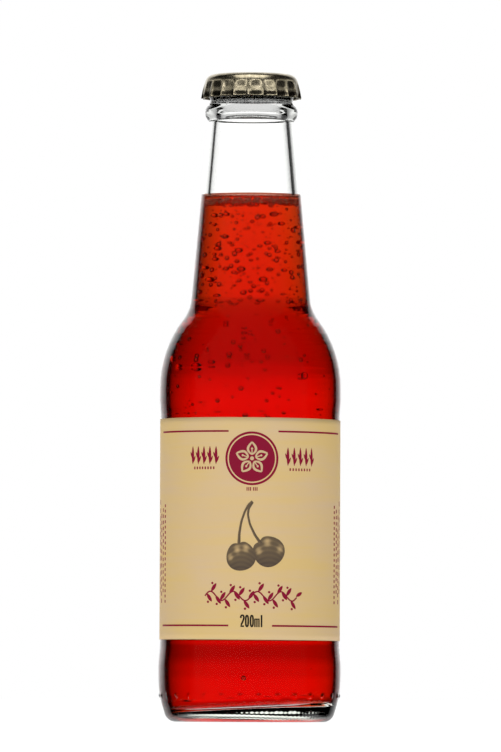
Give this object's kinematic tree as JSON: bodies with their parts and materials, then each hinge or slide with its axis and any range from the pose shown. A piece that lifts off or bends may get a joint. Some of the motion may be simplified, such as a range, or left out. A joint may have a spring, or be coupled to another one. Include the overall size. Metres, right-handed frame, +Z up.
{
  "type": "capped soda bottle",
  "caption": "Long-neck clear glass soda bottle, filled, with a wrap-round paper label and a fluted crown cap that lifts off.",
  "frame": {"origin": "centre of the base, on the plane that the bottle stands on", "axes": "+Z up the bottle's axis to the crown, -Y towards the front of the label"},
  "size_m": [0.0518, 0.0518, 0.1839],
  "materials": {
    "flint_glass": "gloss",
    "red_drink": "clear liquid",
    "pink_froth": "fine bubbles",
    "label_paper": "coated paper, satin",
    "label_glue": "dried glue film",
    "lacquered_tinplate": "gloss lacquer",
    "liner_compound": "matte"
  },
  "bodies": {
    "bottle": {"glass_bottle": "flint_glass", "soda_fill": "red_drink", "froth_ring": "pink_froth", "wrap_label": "label_paper", "label_adhesive": "label_glue"},
    "crown": {"crown_shell": "lacquered_tinplate", "crown_liner": "liner_compound"}
  },
  "joints": [
    {"name": "crown_lift", "type": "slide", "parent": "bottle", "child": "crown", "axis": [0, 0, 1], "range_m": [0, 0.04]}
  ]
}
